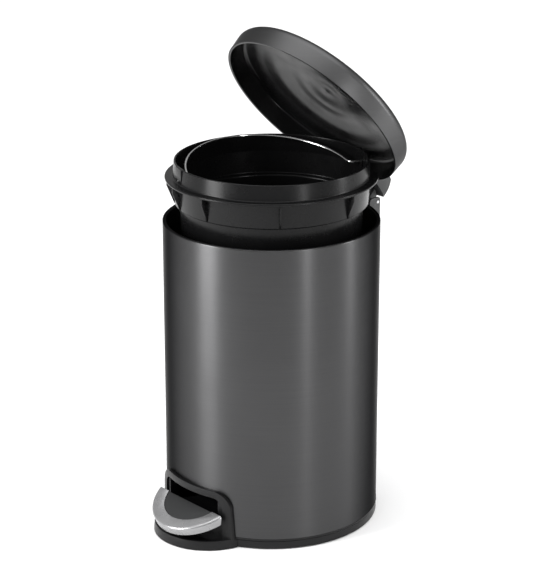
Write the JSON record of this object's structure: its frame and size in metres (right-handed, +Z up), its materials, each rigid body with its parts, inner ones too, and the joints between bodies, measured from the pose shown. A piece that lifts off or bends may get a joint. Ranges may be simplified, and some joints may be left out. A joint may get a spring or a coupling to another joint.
{
  "type": "pedal bin",
  "caption": "Round steel pedal bin with a hinged domed lid, a lift-out inner bucket with a bail, a chrome-edged foot pedal and a rear carrying grip.",
  "frame": {"origin": "centre of the ring the bin stands on, at floor level", "axes": "+Z up, -Y towards the pedal, +Y towards the lid's hinge, +X to the right when facing the pedal"},
  "size_m": [0.2508, 0.332, 0.5789],
  "materials": {
    "body_steel": "dark satin steel",
    "lid_steel": "dark grey satin",
    "black_plastic": "fine satin",
    "bucket_plastic": "smooth moulded",
    "grey_plastic": "satin",
    "inset_rubber": "matte",
    "foot_rubber": "matte",
    "chrome": "polished",
    "bright_wire": "bright drawn",
    "zinc_steel": "zinc plated"
  },
  "bodies": {
    "bin": {"body_shell": "body_steel", "base": "black_plastic", "rubber_ring": "foot_rubber", "pedal_housing": "black_plastic", "axle_bracket": "zinc_steel", "pedal_axle": "zinc_steel", "base_screws": "zinc_steel", "housing_screws": "zinc_steel", "damper_cylinder": "black_plastic", "rod_guide": "black_plastic", "hinge_bracket": "grey_plastic", "rear_grip": "black_plastic", "rear_screws": "zinc_steel", "hinge_pin": "zinc_steel"},
    "lid": {"lid_shell": "lid_steel", "lid_liner": "black_plastic", "lid_hinge_arm": "grey_plastic", "lid_rivets": "zinc_steel"},
    "pedal": {"pedal_lever": "black_plastic", "pedal_cover": "chrome", "pedal_inset": "inset_rubber"},
    "push_rod": {"push_rod": "zinc_steel", "rod_clips": "zinc_steel"},
    "plunger": {"damper_plunger": "grey_plastic"},
    "bucket": {"inner_bucket": "bucket_plastic"},
    "bail": {"bail_handle": "bright_wire"}
  },
  "joints": [
    {"name": "lid_hinge", "type": "hinge", "parent": "bin", "child": "lid", "pos_m": [0, 0.146, 0.355], "axis": [1, 0, 0], "range_deg": [0, 50.8]},
    {"name": "pedal_hinge", "type": "hinge", "parent": "bin", "child": "pedal", "pos_m": [0, -0.005, 0.024], "axis": [-1, 0, 0], "range_deg": [0, 7.01]},
    {"name": "rod_slide", "type": "slide", "parent": "bin", "child": "push_rod", "axis": [0, 0, -1], "range_m": [0, 0.01501]},
    {"name": "damper_slide", "type": "slide", "parent": "bin", "child": "plunger", "axis": [0, 0, -1], "range_m": [0, 0.0079]},
    {"name": "bucket_lift", "type": "slide", "parent": "bin", "child": "bucket", "axis": [0, 0, -1], "range_m": [0, 0.0488]},
    {"name": "bail_hinge", "type": "hinge", "parent": "bucket", "child": "bail", "pos_m": [0, 0, 0.415], "axis": [0.3338, 0.9426, 0], "range_deg": [0, 163]}
  ],
  "couplings": [
    {"joint": "pedal_hinge", "follows": "lid_hinge", "ratio": 0.1378},
    {"joint": "rod_slide", "follows": "lid_hinge", "m_per_rad": 0.016918},
    {"joint": "damper_slide", "follows": "lid_hinge", "m_per_rad": 0.008888},
    {"joint": "bucket_lift", "follows": "lid_hinge", "m_per_rad": 0.055029}
  ]
}
